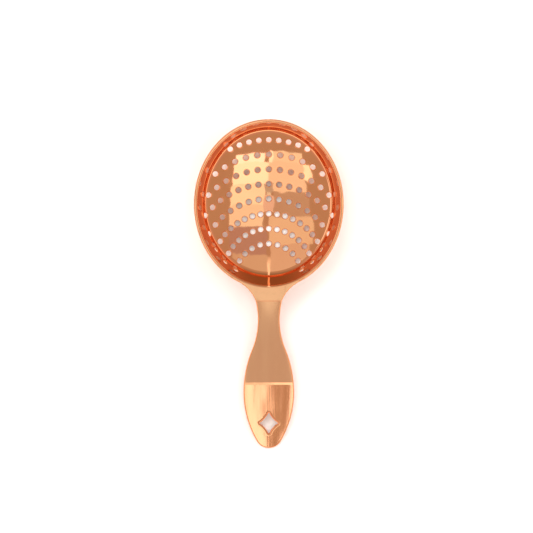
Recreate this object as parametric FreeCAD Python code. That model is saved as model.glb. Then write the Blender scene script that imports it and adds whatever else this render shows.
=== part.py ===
import FreeCAD, Part
import math
import os

# A julep strainer: an oval perforated bowl whose rim runs out into a short tongue,
# and a leaf-shaped handle lapped under that tongue and held by two spot welds.
# Everything is designed with the rim level, the bowl's centre on the Z axis and the handle
# towards -Y. At the end it is tipped back onto the handle's tip, the way it lies on a table.

# Overall sizes, in mm
RIM_HALF_WIDTH = 37.5
RIM_HALF_LENGTH = 42.7
RIM_HEIGHT = 18.0
TIP_REACH = 123.6

# Sheets and edges
BOWL_SHEET = 1.0
HANDLE_SHEET = 1.6
BOWL_EDGE_ROUND = 0.4
HANDLE_EDGE_ROUND = 0.7

# Bowl section, measured on its inside face at the half width
FLOOR_RADIUS = 100.0
KNUCKLE_RADIUS = 3.6
WALL_ANGLE = math.radians(73.0)
ROLL_UNDER_RADIUS = 0.1
LIP_WIDTH = 0.8

# Holes: rows curve round the neck, each one tighter than the row beyond it
HOLE_DIAMETER = 2.7
FIRST_ROW_Y = 31.3
ROW_STEP = 7.5
WIDEST_ROW_RADIUS = 42.0
LAST_ROW_RADIUS = 17.0
ROW_RADIUS_STEP = 5.8
# For each row, from the far end: holes on one side of its middle hole, and their spacing
ROWS = ((4, 5.0), (5, 5.8), (6, 5.6), (7, 5.2), (7, 5.1), (8, 4.15), (7, 4.1), (5, 4.4))

# Tongue
FLARE_ANGLE = math.radians(24.0)
TONGUE_LENGTH = 5.4
TONGUE_CORNER = 1.0

# Handle outline
NECK_HALF_WIDTH = 5.55
HANDLE_HALF_WIDTH = 12.8
WIDEST_FROM_TIP = 28.7
TIP_RADIUS = 7.0
ROOT_GAP = 1.5
ROOT_CORNER = 1.5
# Where the narrowest place is, as a share of the way from the rim to the widest place
NECK_SHARE = 0.297
# The shoulder's share of the two radii that lead from the narrowest place to the widest
SHOULDER_SHARE = 0.59

# Soft bend near the middle of the handle
BEND_FROM_TIP = 34.0
BEND_ANGLE = math.radians(6.0)
BEND_RADIUS = 12.0

# Four-pointed hanging hole
STAR_FROM_TIP = 12.8
STAR_HALF_LENGTH = 6.0
STAR_HALF_WIDTH = 4.9
STAR_WAIST = 3.05
STAR_TIP_ROUND = 0.35
STAR_EDGE_ROUND = 0.8

# Spot welds
WELD_DIAMETER = 3.2
WELD_DEPTH = 0.45
WELD_OFFSET = 3.4

# How far cutting tools and sweeps run past the metal
OVER = 6.0
PUNCH_REACH = 3.0
# Two places closer than this are the same place
NEAR = 1e-3

# Derived
LAP_Z = RIM_HEIGHT - BOWL_SHEET
EXTRA_LENGTH = RIM_HALF_LENGTH - RIM_HALF_WIDTH
LAND_START = RIM_HALF_WIDTH - LIP_WIDTH
ROLL_RADIUS = ROLL_UNDER_RADIUS + BOWL_SHEET
INNER_STRETCH = 1.0 + EXTRA_LENGTH / LAND_START
OUTER_STRETCH = 1.0 + EXTRA_LENGTH / RIM_HALF_WIDTH
ROOT_REACH = LAND_START * OUTER_STRETCH + ROOT_GAP
TONGUE_REACH = ROOT_REACH + TONGUE_LENGTH
WIDEST_REACH = TIP_REACH - WIDEST_FROM_TIP
NECK_REACH = RIM_HALF_LENGTH + NECK_SHARE * (WIDEST_REACH - RIM_HALF_LENGTH)
BEND_REACH = TIP_REACH - BEND_FROM_TIP
STAR_REACH = TIP_REACH - STAR_FROM_TIP


def knuckle_centre():
    """Centre of the arc that joins the floor to the wall, as (radius, height)."""
    wall_r = LAND_START - ROLL_RADIUS * math.sin(WALL_ANGLE)
    wall_z = RIM_HEIGHT - ROLL_RADIUS + ROLL_RADIUS * math.cos(WALL_ANGLE)
    r = wall_r - KNUCKLE_RADIUS * math.sin(WALL_ANGLE)
    z = wall_z + KNUCKLE_RADIUS * math.cos(WALL_ANGLE)
    # Slide down the wall until the arc also touches the floor's sphere.
    z_up = z - (BOWL_SHEET + FLOOR_RADIUS)
    along = r * math.cos(WALL_ANGLE) + z_up * math.sin(WALL_ANGLE)
    reach = FLOOR_RADIUS - KNUCKLE_RADIUS
    slide = along + math.sqrt(along ** 2 - r ** 2 - z_up ** 2 + reach ** 2)
    return r - slide * math.cos(WALL_ANGLE), z - slide * math.sin(WALL_ANGLE)


KNUCKLE_R, KNUCKLE_Z = knuckle_centre()
FLOOR_EDGE_ANGLE = math.atan2(KNUCKLE_R, BOWL_SHEET + FLOOR_RADIUS - KNUCKLE_Z)


def round_point(centre_r, centre_z, radius, angle):
    """Point in the XZ plane on an arc, with angle measured out from straight down."""
    r = centre_r + radius * math.sin(angle)
    return FreeCAD.Vector(r, 0, centre_z - radius * math.cos(angle))


def arc_edge(centre_r, centre_z, radius, start, end):
    points = [round_point(centre_r, centre_z, radius, a) for a in (start, (start + end) / 2, end)]
    return Part.Arc(*points).toShape()


def dish(offset, top, outside):
    """Solid of revolution under the sheet's inside face, moved out by offset."""
    floor_z = BOWL_SHEET + FLOOR_RADIUS
    roll_z = RIM_HEIGHT - ROLL_RADIUS
    floor = arc_edge(0, floor_z, FLOOR_RADIUS + offset, 0, FLOOR_EDGE_ANGLE)
    knuckle = arc_edge(KNUCKLE_R, KNUCKLE_Z, KNUCKLE_RADIUS + offset, FLOOR_EDGE_ANGLE, WALL_ANGLE)
    roll = arc_edge(LAND_START, roll_z, offset - ROLL_RADIUS, WALL_ANGLE, 0)
    wall = Part.makeLine(knuckle.Vertexes[-1].Point, roll.Vertexes[0].Point)
    corners = [
        roll.Vertexes[-1].Point,
        FreeCAD.Vector(outside, 0, roll.Vertexes[-1].Point.z),
        FreeCAD.Vector(outside, 0, top),
        FreeCAD.Vector(0, 0, top),
        floor.Vertexes[0].Point,
    ]
    lines = []
    for start, end in zip(corners, corners[1:]):
        if start.distanceToPoint(end) > NEAR:
            lines.append(Part.makeLine(start, end))
    outline = Part.Wire([floor, knuckle, wall, roll] + lines)
    return Part.Face(outline).revolve(FreeCAD.Vector(0, 0, 0), FreeCAD.Vector(0, 0, 1), 360)


def stretched(shape, factor):
    matrix = FreeCAD.Matrix()
    matrix.scale(1.0, factor, 1.0)
    return shape.transformGeometry(matrix)


def sheet_at(radius):
    """Height and tilt of the inside face at a radius of the unstretched bowl."""
    floor_edge = FLOOR_RADIUS * math.sin(FLOOR_EDGE_ANGLE)
    if radius <= floor_edge:
        angle = math.asin(radius / FLOOR_RADIUS)
        return BOWL_SHEET + FLOOR_RADIUS * (1 - math.cos(angle)), angle
    wall_start = KNUCKLE_R + KNUCKLE_RADIUS * math.sin(WALL_ANGLE)
    if radius <= wall_start:
        angle = math.asin((radius - KNUCKLE_R) / KNUCKLE_RADIUS)
        return KNUCKLE_Z - KNUCKLE_RADIUS * math.cos(angle), angle
    wall_z = KNUCKLE_Z - KNUCKLE_RADIUS * math.cos(WALL_ANGLE)
    return wall_z + (radius - wall_start) * math.tan(WALL_ANGLE), WALL_ANGLE


def hole_centres():
    """Plan positions of the holes, as x and y from the bowl's centre."""
    centres = []
    for row, (each_side, spacing) in enumerate(ROWS):
        rows_left = len(ROWS) - 1 - row
        radius = min(WIDEST_ROW_RADIUS, LAST_ROW_RADIUS + ROW_RADIUS_STEP * rows_left)
        middle_y = FIRST_ROW_Y - ROW_STEP * row
        for number in range(-each_side, each_side + 1):
            turn = number * spacing / radius
            x = radius * math.sin(turn)
            y = middle_y - radius * (1 - math.cos(turn))
            centres.append((x, y))
    return centres


def hole_punches():
    """One cylinder for each hole, square to the sheet where it goes through."""
    punches = []
    for x, y in hole_centres():
        round_y = y / INNER_STRETCH
        radius = math.hypot(x, round_y)
        height, tilt = sheet_at(radius)
        down = FreeCAD.Vector(0, 0, -1)
        if radius > 0:
            out_x = x / radius * math.sin(tilt)
            out_y = round_y / radius * math.sin(tilt) / INNER_STRETCH
            down = FreeCAD.Vector(out_x, out_y, -math.cos(tilt)).normalize()
        start = FreeCAD.Vector(x, y, height) - down * PUNCH_REACH
        punches.append(Part.makeCylinder(HOLE_DIAMETER / 2, 2 * PUNCH_REACH, start, down))
    return punches


def mirrored(point):
    return FreeCAD.Vector(-point.x, point.y, point.z)


def tongue_slab():
    """Flat tongue, flaring tangentially into the rim's outer edge."""
    rim = FreeCAD.Vector(
        RIM_HALF_WIDTH * math.sin(FLARE_ANGLE), -RIM_HALF_LENGTH * math.cos(FLARE_ANGLE), LAP_Z
    )
    normal = FreeCAD.Vector(rim.x / RIM_HALF_WIDTH ** 2, rim.y / RIM_HALF_LENGTH ** 2, 0)
    normal.normalize()
    flare = (rim.x - NECK_HALF_WIDTH) / (1 - normal.x)
    centre = rim + normal * flare
    end_drop = TONGUE_REACH + centre.y
    end = FreeCAD.Vector(centre.x - math.sqrt(flare ** 2 - end_drop ** 2), -TONGUE_REACH, LAP_Z)
    middle = centre + ((rim + end) / 2 - centre).normalize() * flare
    inside = FreeCAD.Vector(0, rim.y + RIM_HALF_LENGTH - LAND_START * OUTER_STRETCH, LAP_Z)
    edges = [
        Part.Arc(rim, middle, end).toShape(),
        Part.makeLine(end, mirrored(end)),
        Part.Arc(mirrored(end), mirrored(middle), mirrored(rim)).toShape(),
        Part.makeLine(mirrored(rim), inside),
        Part.makeLine(inside, rim),
    ]
    slab = Part.Face(Part.Wire(edges)).extrude(FreeCAD.Vector(0, 0, BOWL_SHEET))
    corners = [e for e in upright_edges(slab) if abs(e.CenterOfMass.y + TONGUE_REACH) < NEAR]
    return slab.makeFillet(TONGUE_CORNER, corners)


def is_straight(edge):
    return edge.Curve.TypeId == "Part::GeomLine"


def upright_edges(shape):
    return [e for e in shape.Edges if is_straight(e) and abs(e.Curve.Direction.z) > 1 - NEAR]


def bowl():
    solid = dish(BOWL_SHEET, RIM_HEIGHT, RIM_HALF_WIDTH)
    solid = stretched(solid, OUTER_STRETCH)
    solid = solid.fuse(tongue_slab()).removeSplitter()
    solid = solid.cut(stretched(dish(0, RIM_HEIGHT + OVER, LAND_START), INNER_STRETCH))
    solid = solid.cut(hole_punches())
    return round_rim(solid)


def round_rim(solid):
    """Round the outer edge of the rim and tongue, above and below."""
    half_lip = LIP_WIDTH / 2
    edges = []
    for edge in solid.Edges:
        middle = edge.valueAt((edge.FirstParameter + edge.LastParameter) / 2)
        level = edge.BoundBox.ZLength < NEAR
        on_face = min(abs(middle.z - RIM_HEIGHT), abs(middle.z - LAP_Z)) < NEAR
        across = middle.x / (RIM_HALF_WIDTH - half_lip)
        along = middle.y / (RIM_HALF_LENGTH - half_lip)
        if level and on_face and math.hypot(across, along) > 1:
            edges.append(edge)
    return solid.makeFillet(BOWL_EDGE_ROUND, edges)


def handle_outline():
    """Plan face of the handle: neck arc, shoulder arc, side arc and tip on each side."""
    tip_y = TIP_RADIUS - TIP_REACH
    drop = tip_y + WIDEST_REACH
    side = HANDLE_HALF_WIDTH ** 2 + drop ** 2 - TIP_RADIUS ** 2
    side = side / (2 * (HANDLE_HALF_WIDTH - TIP_RADIUS))
    side_x = HANDLE_HALF_WIDTH - side
    tip_turn = math.atan2(drop, -side_x)
    rise = WIDEST_REACH - NECK_REACH
    widening = HANDLE_HALF_WIDTH - NECK_HALF_WIDTH
    radii = (widening ** 2 + rise ** 2) / (2 * widening)
    shoulder = SHOULDER_SHARE * radii
    shoulder_x = HANDLE_HALF_WIDTH - shoulder
    neck = radii - shoulder
    neck_x = NECK_HALF_WIDTH + neck
    neck_turn = math.atan2(rise, neck_x - shoulder_x)
    root_turn = math.asin((NECK_REACH - ROOT_REACH) / neck)

    def on(centre_x, centre_y, radius, turn):
        x = centre_x + radius * math.cos(turn)
        return FreeCAD.Vector(x, centre_y + radius * math.sin(turn), 0)

    root = on(neck_x, -NECK_REACH, -neck, -root_turn)
    waist = FreeCAD.Vector(NECK_HALF_WIDTH, -NECK_REACH, 0)
    shoulder_start = on(shoulder_x, -WIDEST_REACH, shoulder, neck_turn)
    shoulder_middle = on(shoulder_x, -WIDEST_REACH, shoulder, neck_turn / 2)
    widest = FreeCAD.Vector(HANDLE_HALF_WIDTH, -WIDEST_REACH, 0)
    side_middle = on(side_x, -WIDEST_REACH, side, tip_turn / 2)
    tip_start = on(0, tip_y, TIP_RADIUS, tip_turn)
    tip = FreeCAD.Vector(0, -TIP_REACH, 0)
    half = [(root, waist, shoulder_start), (shoulder_start, shoulder_middle, widest)]
    half.append((widest, side_middle, tip_start))
    edges = [Part.Arc(*points).toShape() for points in half]
    edges.append(Part.Arc(tip_start, tip, mirrored(tip_start)).toShape())
    for start, middle, end in reversed(half):
        edges.append(Part.Arc(mirrored(end), mirrored(middle), mirrored(start)).toShape())
    edges.append(Part.makeLine(mirrored(root), root))
    return Part.Face(Part.Wire(edges))


def tail_point(along, depth):
    """Point on the tail: along it from the bend's end, and depth below its top face."""
    turn = BEND_RADIUS + HANDLE_SHEET
    start_y = -BEND_REACH - turn * math.sin(BEND_ANGLE)
    start_z = LAP_Z - turn * (1 - math.cos(BEND_ANGLE))
    y = start_y - along * math.cos(BEND_ANGLE) + depth * math.sin(BEND_ANGLE)
    z = start_z - along * math.sin(BEND_ANGLE) - depth * math.cos(BEND_ANGLE)
    return FreeCAD.Vector(0, y, z)


def tail_distance(reach):
    """Distance along the tail of the place that is this far from the bowl's centre in plan."""
    past_bend = reach - BEND_REACH - (BEND_RADIUS + HANDLE_SHEET) * math.sin(BEND_ANGLE)
    return past_bend / math.cos(BEND_ANGLE)


def bend_arc(radius):
    centre_z = LAP_Z - BEND_RADIUS - HANDLE_SHEET
    points = []
    for turn in (0, BEND_ANGLE / 2, BEND_ANGLE):
        y = -BEND_REACH - radius * math.sin(turn)
        points.append(FreeCAD.Vector(0, y, centre_z + radius * math.cos(turn)))
    return Part.Arc(*points).toShape()


def handle_band():
    """The handle's side view swept across its width: straight, bent, straight."""
    tail_length = BEND_FROM_TIP + OVER
    top = bend_arc(BEND_RADIUS + HANDLE_SHEET)
    under = bend_arc(BEND_RADIUS)
    front_top = FreeCAD.Vector(0, -ROOT_REACH + OVER, LAP_Z)
    front_under = FreeCAD.Vector(0, -ROOT_REACH + OVER, LAP_Z - HANDLE_SHEET)
    end_top = tail_point(tail_length, 0)
    end_under = tail_point(tail_length, HANDLE_SHEET)
    edges = [
        Part.makeLine(front_top, top.Vertexes[0].Point),
        top,
        Part.makeLine(top.Vertexes[1].Point, end_top),
        Part.makeLine(end_top, end_under),
        Part.makeLine(end_under, under.Vertexes[1].Point),
        under,
        Part.makeLine(under.Vertexes[0].Point, front_under),
        Part.makeLine(front_under, front_top),
    ]
    face = Part.Face(Part.Wire(Part.__sortEdges__(edges)))
    face.translate(FreeCAD.Vector(-2 * HANDLE_HALF_WIDTH, 0, 0))
    return face.extrude(FreeCAD.Vector(4 * HANDLE_HALF_WIDTH, 0, 0))


def star_punch():
    """Four-pointed punch, square to the tail, with slightly rounded points."""
    waist = STAR_WAIST / math.sqrt(2)
    points = []
    for turn_x, turn_y in ((1, 0), (0, 1), (-1, 0), (0, -1)):
        points.append(FreeCAD.Vector(turn_x * STAR_HALF_WIDTH, turn_y * STAR_HALF_LENGTH, 0))
    edges = []
    for number, start in enumerate(points):
        end = points[(number + 1) % 4]
        side_x = math.copysign(waist, start.x + end.x)
        side_y = math.copysign(waist, start.y + end.y)
        edges.append(Part.Arc(start, FreeCAD.Vector(side_x, side_y, 0), end).toShape())
    punch = Part.Face(Part.Wire(edges)).extrude(FreeCAD.Vector(0, 0, 4 * HANDLE_SHEET))
    punch = punch.makeFillet(STAR_TIP_ROUND, upright_edges(punch))
    punch.translate(FreeCAD.Vector(0, 0, -2 * HANDLE_SHEET))
    punch.rotate(FreeCAD.Vector(0, 0, 0), FreeCAD.Vector(1, 0, 0), math.degrees(BEND_ANGLE))
    punch.translate(tail_point(tail_distance(STAR_REACH), 0))
    return punch


def handle():
    prism = handle_outline().extrude(FreeCAD.Vector(0, 0, RIM_HEIGHT + OVER))
    corners = [e for e in upright_edges(prism) if abs(e.CenterOfMass.y + ROOT_REACH) < NEAR]
    prism = prism.makeFillet(ROOT_CORNER, corners)
    solid = prism.common(handle_band())
    solid = solid.makeFillet(HANDLE_EDGE_ROUND, [e for e in solid.Edges if is_outline(e)])
    solid = solid.cut(star_punch())
    return solid.makeFillet(STAR_EDGE_ROUND, star_rim(solid))


def is_outline(edge):
    """True for edges round the outline: all the curved ones, and the straight one at the root."""
    level_at_root = edge.BoundBox.ZLength < NEAR and abs(edge.CenterOfMass.y + ROOT_REACH) < NEAR
    return level_at_root or not is_straight(edge)


def star_rim(solid):
    """Edges of the hanging hole on the handle's top face."""
    top = tail_point(tail_distance(STAR_REACH), 0)
    rim = []
    for edge in solid.Edges:
        offset = edge.CenterOfMass - top
        height = offset.z * math.cos(BEND_ANGLE) - offset.y * math.sin(BEND_ANGLE)
        if offset.Length < STAR_HALF_LENGTH and abs(height) < NEAR:
            rim.append(edge)
    return rim


def weld_nuggets():
    """Two lens-shaped nuggets centred on the plane where the two sheets touch."""
    half = WELD_DIAMETER / 2
    ball = (half ** 2 + WELD_DEPTH ** 2) / (2 * WELD_DEPTH)
    middle_y = -(ROOT_REACH + TONGUE_REACH) / 2
    nuggets = []
    for side in (-1, 1):
        spot = FreeCAD.Vector(side * WELD_OFFSET, middle_y, LAP_Z)
        shift = FreeCAD.Vector(0, 0, ball - WELD_DEPTH)
        upper = Part.makeSphere(ball, spot + shift)
        lower = Part.makeSphere(ball, spot - shift)
        nuggets.append(upper.common(lower))
    return nuggets


def rest_tilt():
    """Angle that tips the strainer back until its floor and the handle's tip are level."""
    ball = FLOOR_RADIUS + BOWL_SHEET
    inset = HANDLE_EDGE_ROUND
    tip = tail_point(tail_distance(TIP_REACH) - inset, HANDLE_SHEET - inset)
    low, high = 0.0, math.radians(45)
    for step in range(40):
        tilt = (low + high) / 2
        across = math.hypot(OUTER_STRETCH * math.sin(tilt), math.cos(tilt))
        floor_z = ball * (math.cos(tilt) - across)
        tip_z = tip.y * math.sin(tilt) + tip.z * math.cos(tilt) - inset
        if tip_z > floor_z:
            low = tilt
        else:
            high = tilt
    return tilt


def main():
    welds = weld_nuggets()
    shapes = {
        "strainer_bowl": bowl().cut(welds),
        "handle": handle().cut(welds),
        "spot_welds": Part.makeCompound(welds),
    }
    origin = FreeCAD.Vector(0, 0, 0)
    tilt = math.degrees(rest_tilt())
    for shape in shapes.values():
        shape.rotate(origin, FreeCAD.Vector(1, 0, 0), tilt)
    box = Part.makeCompound(list(shapes.values())).optimalBoundingBox(False)
    move = FreeCAD.Vector(-box.Center.x, -box.Center.y, -box.ZMin)
    os.makedirs("parts", exist_ok=True)
    for node, shape in shapes.items():
        shape.translate(move)
        shape.exportStep("parts/" + node + ".step")


main()
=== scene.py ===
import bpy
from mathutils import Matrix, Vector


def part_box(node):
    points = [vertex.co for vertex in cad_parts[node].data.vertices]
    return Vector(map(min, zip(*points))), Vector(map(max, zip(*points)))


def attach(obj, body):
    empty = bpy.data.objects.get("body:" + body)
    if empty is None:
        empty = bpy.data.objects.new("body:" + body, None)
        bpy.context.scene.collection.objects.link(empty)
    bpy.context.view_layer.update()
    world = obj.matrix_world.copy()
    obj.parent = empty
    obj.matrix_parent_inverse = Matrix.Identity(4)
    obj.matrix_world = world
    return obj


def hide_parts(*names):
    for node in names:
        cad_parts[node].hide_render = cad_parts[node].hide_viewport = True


bl_info = {
    "name": "Julep strainer",
    "version": (1, 0, 0),
    "blender": (4, 5, 0),
    "location": "3D View > Sidebar > Strainer",
    "description": "Builds a polished copper julep strainer on its packed frame",
    "category": "Object",
}

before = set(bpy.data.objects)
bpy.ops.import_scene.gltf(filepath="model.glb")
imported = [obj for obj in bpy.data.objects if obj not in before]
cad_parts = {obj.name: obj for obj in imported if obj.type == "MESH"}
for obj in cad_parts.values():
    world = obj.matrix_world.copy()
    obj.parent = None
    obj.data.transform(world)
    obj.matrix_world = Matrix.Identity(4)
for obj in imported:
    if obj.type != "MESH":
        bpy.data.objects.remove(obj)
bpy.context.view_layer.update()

import math

import bpy
import numpy as np
from mathutils import Vector
from mathutils.geometry import delaunay_2d_cdt

BOWL_LOW, BOWL_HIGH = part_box("strainer_bowl")
HANDLE_LOW, HANDLE_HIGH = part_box("handle")

# Rows of holes from the far end: holes on each side of the middle one, and their spacing
HOLE_ROWS = (
    (4, 0.0050),
    (5, 0.0058),
    (6, 0.0056),
    (7, 0.0052),
    (7, 0.0051),
    (8, 0.00415),
    (7, 0.0041),
    (5, 0.0044),
)

# Fineness of the meshes
TURNS = 288
HOLE_SIDES = 28
EDGE_STEPS = 6
OUTLINE_STEP = 0.0005
CORNER_STEP = 0.0002
STAR_TIP_STEP = 0.00008
FACE_STEP = 0.0016
TO_MM = 1000.0
# Places handled at a time where each is compared with every point of an outline
CHUNK = 500
MESH_TOLERANCE = 1e-7
ON_LINE = 1e-9
TILT_STEPS = 50
SECTION_STEPS = 4000
WALL_ROWS = 8
BEND_ROWS = 9
WELD_ROWS = 10
WELD_TURNS = 48
FLOOR_LINES = 13

# Stage
CAMERA_X, CAMERA_Y = -0.00115, 0.00894
AIM_HEIGHT = 0.012
SENSOR_WIDTH = 36.0
VIEW_END = 20.0
FILL_HALF = 0.6
HORIZON = (1.4, 1.45, 1.3, 1)
LOW_SKY = (0.66, 0.48, 0.46, 1)
SKY_BEHIND = (0.3, 0.27, 0.2, 1)
STREAK = (1.35, 1.4, 1.35, 1)


def length(name, description, value):
    """A size property in metres."""
    return bpy.props.FloatProperty(
        name=name, description=description, default=value, min=0.0, precision=5, unit="LENGTH"
    )


def angle(name, description, degrees):
    """An angle property, given in degrees."""
    return bpy.props.FloatProperty(
        name=name, description=description, default=math.radians(degrees), subtype="ANGLE"
    )


def share(name, description, value):
    """A property from 0 to 1."""
    return bpy.props.FloatProperty(
        name=name, description=description, default=value, min=0.0, max=1.0, subtype="FACTOR"
    )


def colour(name, description, value):
    """A colour property, linear."""
    return bpy.props.FloatVectorProperty(
        name=name, description=description, default=value, size=3, min=0.0, max=1.0, subtype="COLOR"
    )


class StrainerBowlSizes(bpy.types.PropertyGroup):
    """Sizes of the perforated bowl and its tongue"""

    half_width: length("Half width", "From the middle to the rim's side", (BOWL_HIGH.x - BOWL_LOW.x) / 2)
    half_length: length("Half length", "From the middle to the rim's far end", 0.0427)
    height: length("Height", "From the floor's underside to the rim's top", 0.018)
    sheet: length("Sheet", "Thickness of the bowl's sheet", 0.001)
    floor_radius: length("Floor radius", "Radius of the dished floor across the bowl", 0.1)
    knuckle_radius: length("Knuckle radius", "Inside radius between floor and wall", 0.0036)
    wall_angle: angle("Wall angle", "Steepness of the wall", 73.0)
    roll_radius: length("Roll radius", "Radius over which the wall turns out into the lip", 0.0011)
    lip_width: length("Lip width", "Width of the flat lip", 0.0008)
    edge_round: length("Edge rounding", "Rounding of the rim's outer edge", 0.0004)
    hole_diameter: length("Hole diameter", "Diameter of each drain hole", 0.0027)
    hole_round: length("Hole rounding", "Rounding of each hole's inside edge", 0.00035)
    hole_burr: length("Hole underside rounding", "Rounding of each hole's outside edge", 0.0002)
    first_row: length("First row", "From the middle to the far row of holes", 0.0313)
    row_step: length("Row step", "From one row of holes to the next", 0.0075)
    widest_row_radius: length("Widest row radius", "Radius of the flattest rows", 0.042)
    last_row_radius: length("Last row radius", "Radius of the row next to the tongue", 0.017)
    row_radius_step: length("Row radius step", "How much each row is flatter than the next", 0.0058)
    flare_angle: angle("Flare angle", "Where the rim starts to run out into the tongue", 24.0)
    tongue_length: length("Tongue length", "Length of the tongue over the handle", 0.0054)
    tongue_corner: length("Tongue corner", "Corner radius of the tongue", 0.001)
    root_gap: length("Root gap", "From the bowl's wall to the handle's root", 0.0015)


class StrainerHandleSizes(bpy.types.PropertyGroup):
    """Sizes of the handle"""

    reach: length("Reach", "From the bowl's middle to the handle's tip", 0.1236)
    sheet: length("Sheet", "Thickness of the handle's sheet", 0.0016)
    edge_round: length("Edge rounding", "Rounding of the handle's edges", 0.0007)
    neck_half_width: length("Neck half width", "Half width at the narrowest place", 0.00555)
    half_width: length("Half width", "Half width at the widest place", (HANDLE_HIGH.x - HANDLE_LOW.x) / 2)
    widest_from_tip: length("Widest from tip", "From the tip to the widest place", 0.0287)
    tip_radius: length("Tip radius", "Radius of the tip", 0.007)
    crown_width: length("Crown width", "Width over which the face rolls to the edge", 0.0045)
    crown_drop: length("Crown drop", "How far the face has dropped at its edge", 0.00003)
    root_corner: length("Root corner", "Corner radius at the root", 0.0015)
    neck_share: share("Neck place", "Share of the way from rim to widest place", 0.297)
    shoulder_share: share("Shoulder share", "Shoulder's share of the two outline radii", 0.59)
    bend_from_tip: length("Bend from tip", "From the tip to the soft bend", 0.034)
    bend_angle: angle("Bend angle", "How far the tail turns down", 6.0)
    bend_radius: length("Bend radius", "Radius of the bend's underside", 0.012)
    star_from_tip: length("Star from tip", "From the tip to the star's middle", 0.0128)
    star_half_length: length("Star half length", "From the star's middle to its long points", 0.006)
    star_half_width: length("Star half width", "From the star's middle to its side points", 0.0049)
    star_waist: length("Star waist", "From the star's middle to its hollow sides", 0.00305)
    star_tip_round: length("Star tip round", "Rounding of the star's points", 0.00035)
    star_round: length("Star edge rounding", "Rounding of the star's upper edge", 0.0008)
    star_roll: length("Star roll", "Width of the rolled metal round the star", 0.0013)
    star_burr: length("Star underside rounding", "Rounding of the star's lower edge", 0.00015)


class StrainerFinish(bpy.types.PropertyGroup):
    """Colours and polish of the copper"""

    copper: colour("Copper", "Colour of clean polished copper", (0.93, 0.42, 0.21))
    deep_copper: colour("Deep copper", "Colour where the copper has darkened a little", (0.85, 0.33, 0.16))
    bowl_polish: share("Bowl roughness", "Roughness of the bowl's polish", 0.045)
    handle_polish: share("Handle roughness", "Roughness of the handle's polish", 0.055)
    steel: colour("Weld steel", "Colour of the weld nuggets", (0.5, 0.48, 0.46))


class Shell:
    """Collects points, outward normals and triangles, then becomes one smooth closed mesh."""

    def __init__(self):
        self.points = []
        self.normals = []
        self.faces = []
        self.count = 0

    def add(self, points, normals):
        """Adds points of any array shape and returns their numbers in that shape."""
        shape = points.shape[:-1]
        self.points.append(points.reshape(-1, 3))
        self.normals.append(np.broadcast_to(normals, points.shape).reshape(-1, 3))
        size = int(np.prod(shape))
        numbers = np.arange(self.count, self.count + size).reshape(shape)
        self.count += size
        return numbers

    def triangles(self, corners):
        self.faces.append(corners.reshape(-1, 3))

    def band(self, rows):
        """Joins each closed row of points to the next: a quad between neighbours, cut in two."""
        for first, second in zip(rows, rows[1:]):
            first_next = np.roll(first, -1, axis=-1)
            second_next = np.roll(second, -1, axis=-1)
            self.triangles(np.stack([first, first_next, second_next], axis=-1))
            self.triangles(np.stack([first, second_next, second], axis=-1))

    def piece(self, name, pose):
        """Makes the object. Triangles are turned to agree with their corners' normals."""
        points = pose.place(np.concatenate(self.points))
        normals = pose.turn(np.concatenate(self.normals))
        faces = np.concatenate(self.faces)
        corners_differ = (faces != np.roll(faces, 1, axis=1)).all(axis=1)
        faces = faces[corners_differ]
        a, b, c = (points[faces[:, k]] for k in range(3))
        facing = np.sum(np.cross(b - a, c - a) * normals[faces].sum(axis=1), axis=-1)
        faces = np.where(facing[:, None] < 0, faces[:, ::-1], faces)
        mesh = bpy.data.meshes.new(name)
        mesh.from_pydata(points.tolist(), [], faces.tolist())
        mesh.polygons.foreach_set("use_smooth", np.ones(len(faces), dtype=bool))
        mesh.normals_split_custom_set_from_vertices(normals.tolist())
        mesh.update()
        piece = bpy.data.objects.new(name, mesh)
        bpy.context.scene.collection.objects.link(piece)
        return piece


def unit(vectors):
    return vectors / np.linalg.norm(vectors, axis=-1, keepdims=True)


def in_chunks(measure, places):
    """Measures the places some at a time, to save memory, and joins the results."""
    chunks = np.array_split(places, max(1, len(places) // CHUNK))
    return np.concatenate([measure(chunk) for chunk in chunks])


def gaps(places, points):
    """Distance from each place to each of the points."""
    return np.linalg.norm(places[:, None] - points[None], axis=-1)


def odd_inside(places, starts, ends):
    """True where a ray towards +X from a place crosses an odd number of the edges."""
    x, y = places[:, :1], places[:, 1:]
    spans = (starts[:, 1] > y) != (ends[:, 1] > y)
    rise = np.where(ends[:, 1] == starts[:, 1], 1.0, ends[:, 1] - starts[:, 1])
    crossing = starts[:, 0] + (y - starts[:, 1]) * (ends[:, 0] - starts[:, 0]) / rise
    return (spans & (x < crossing)).sum(axis=1) % 2 == 1


def triangulate(flat, loops, lines=()):
    """Delaunay triangles of flat points that lie inside an odd number of the closed loops."""
    rings = [np.stack([loop, np.roll(loop, -1)], axis=-1) for loop in loops]
    edges = np.concatenate(rings)
    fixed = np.concatenate([edges] + [np.stack([line[:-1], line[1:]], axis=-1) for line in lines])
    corners = [Vector(p) for p in (flat * TO_MM).tolist()]
    made = delaunay_2d_cdt(corners, fixed.tolist(), [], 0, MESH_TOLERANCE)
    origin = np.array([numbers[0] for numbers in made[3]])
    faces = origin[np.array(made[2])]
    centres = flat[faces].mean(axis=1)
    starts, ends = flat[edges[:, 0]], flat[edges[:, 1]]
    return faces[in_chunks(lambda chunk: odd_inside(chunk, starts, ends), centres)]


def spread(low, high, step):
    """Grid of points in rows, every other row shifted by half a step."""
    rows = np.arange(low[1], high[1], step * math.sqrt(3) / 2)
    columns = np.arange(low[0] - step, high[0] + step, step)
    x = columns[None, :] + (np.arange(len(rows)) % 2)[:, None] * step / 2
    return np.stack(np.broadcast_arrays(x, rows[:, None]), axis=-1).reshape(-1, 2)


def distance_to(places, points):
    """Distance from each place to the nearest of the points."""
    return in_chunks(lambda chunk: gaps(chunk, points).min(axis=1), places)


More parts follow.
